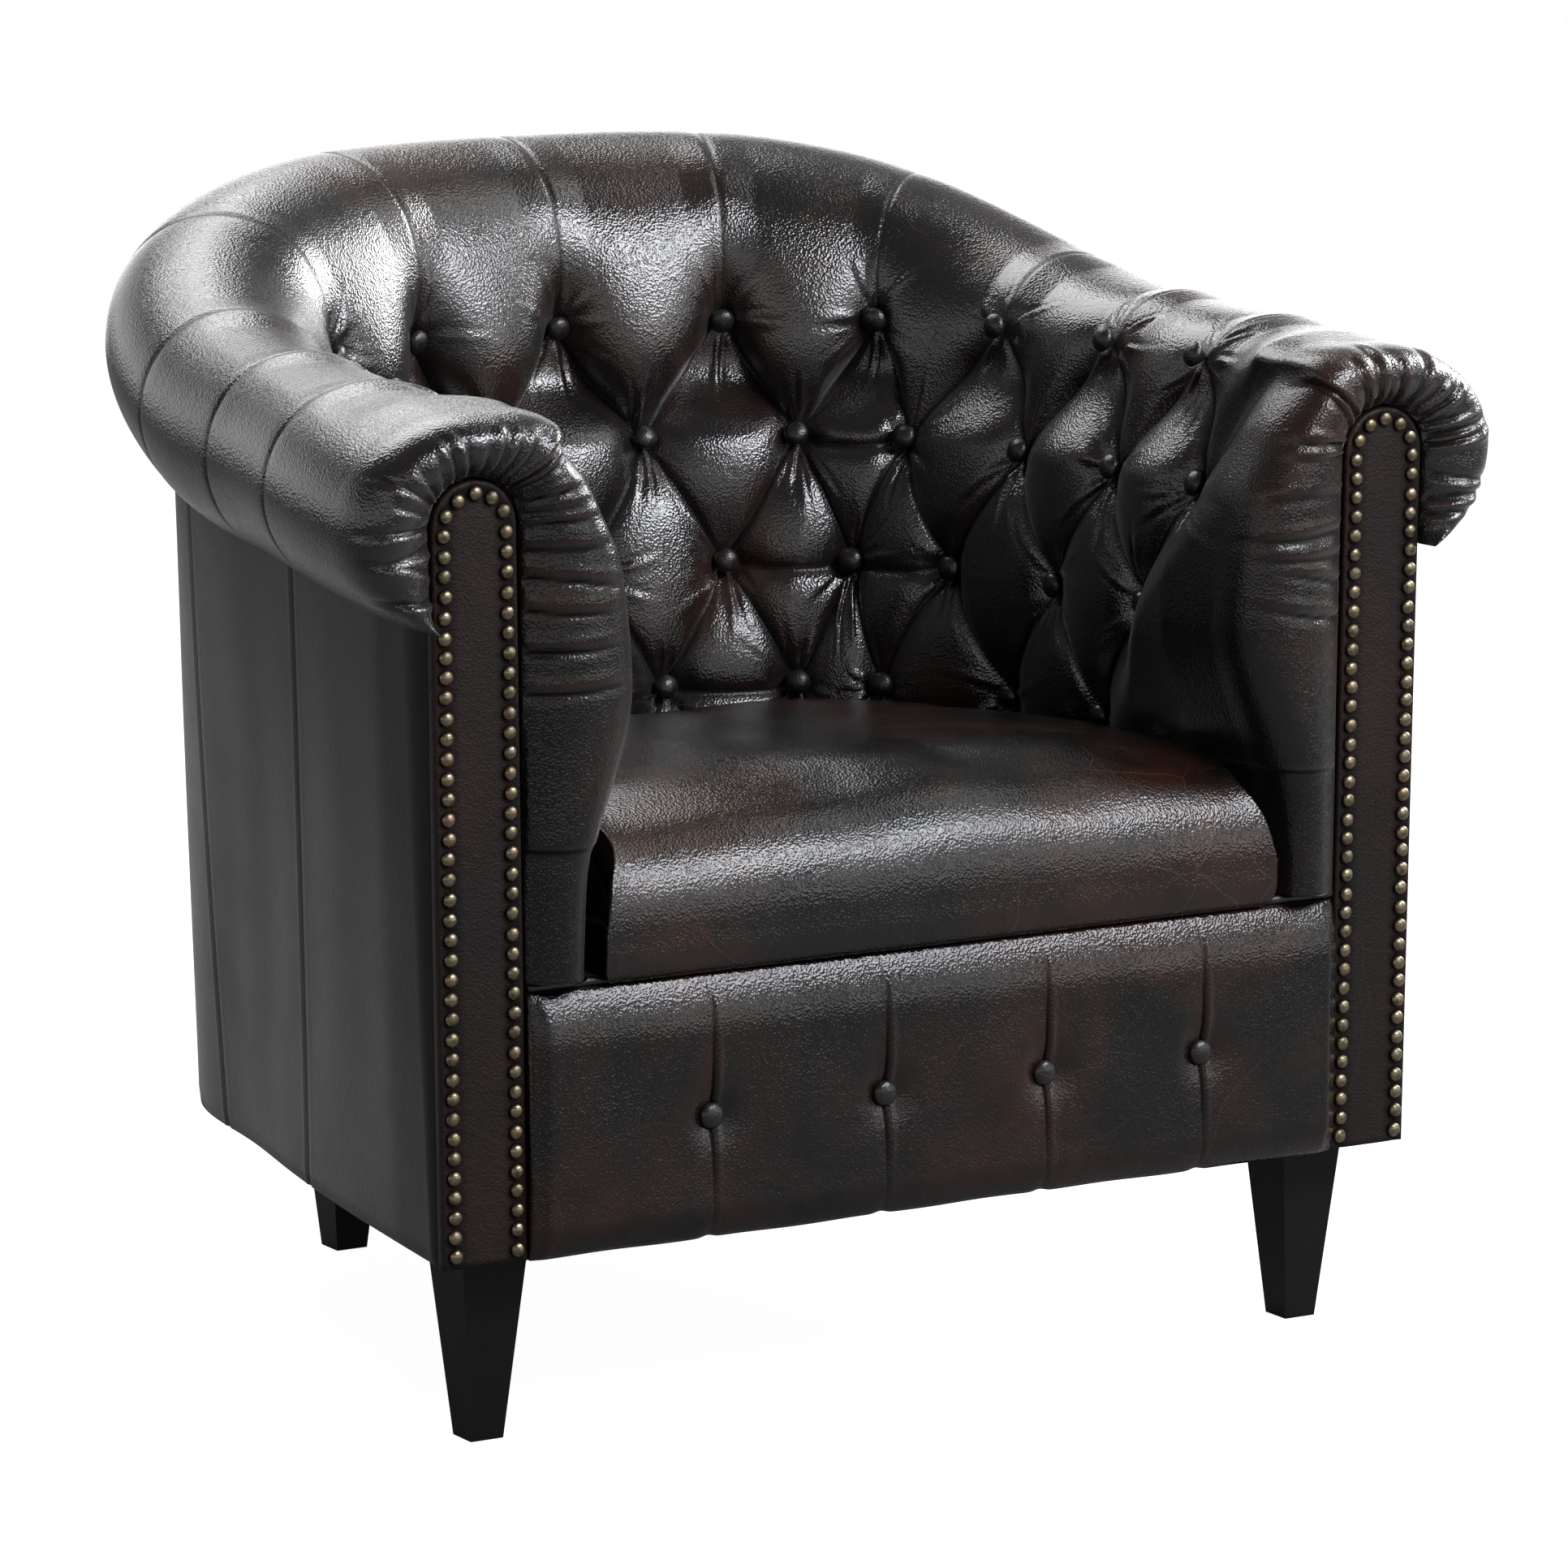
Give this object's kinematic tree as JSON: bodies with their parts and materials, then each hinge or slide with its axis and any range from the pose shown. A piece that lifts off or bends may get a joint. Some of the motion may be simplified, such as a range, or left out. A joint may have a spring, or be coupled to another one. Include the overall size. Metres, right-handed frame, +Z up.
{
  "type": "club chair",
  "caption": "Tub club chair with a deep-buttoned leather back, rolled arms with nailed facings, a loose seat cushion and tapered wooden legs.",
  "frame": {"origin": "middle of the outline, on the floor under the feet", "axes": "+Z up, +Y towards the back of the chair, +X to the right as seen from the front"},
  "size_m": [0.8412, 0.66, 0.7537],
  "materials": {
    "leather": "glossy antique leather, black-brown with oxblood patches",
    "shell_leather": "smooth satin leather",
    "facing_leather": "satin leather",
    "nails": "antique brass",
    "legs": "black satin lacquer",
    "frame": "planed beech and plywood",
    "steel": "zinc-plated",
    "foam": "foam under calico",
    "dust_cloth": "black non-woven cloth"
  },
  "bodies": {
    "chair": {"front_rail": "frame", "left_side_rail": "frame", "right_side_rail": "frame", "rear_rail": "frame", "front_left_block": "frame", "front_right_block": "frame", "rear_left_block": "frame", "rear_right_block": "frame", "left_front_board": "frame", "right_front_board": "frame", "left_arm_post": "frame", "right_arm_post": "frame", "left_back_post": "frame", "right_back_post": "frame", "left_arm_rail": "frame", "right_arm_rail": "frame", "back_top_rail": "frame", "left_lining": "frame", "back_lining": "frame", "right_lining": "frame", "seat_springs": "steel", "spring_clips": "steel", "deck_pad": "foam", "dust_cover": "dust_cloth", "left_arm_pad": "leather", "back_pad": "leather", "right_arm_pad": "leather", "back_buttons": "leather", "left_outer_panel": "shell_leather", "left_quarter_panel": "shell_leather", "outer_back_panel": "shell_leather", "right_quarter_panel": "shell_leather", "right_outer_panel": "shell_leather", "left_facing": "facing_leather", "right_facing": "facing_leather", "left_facing_nails": "nails", "right_facing_nails": "nails", "front_border": "leather", "border_piping": "leather", "border_buttons": "leather", "front_left_leg": "legs", "front_right_leg": "legs", "rear_left_leg": "legs", "rear_right_leg": "legs", "leg_bolts": "steel"},
    "cushion": {"seat_cushion": "leather"}
  },
  "joints": [
    {"name": "cushion_lift", "type": "slide", "parent": "chair", "child": "cushion", "axis": [0, 0, 1], "range_m": [0, 0.47]}
  ]
}
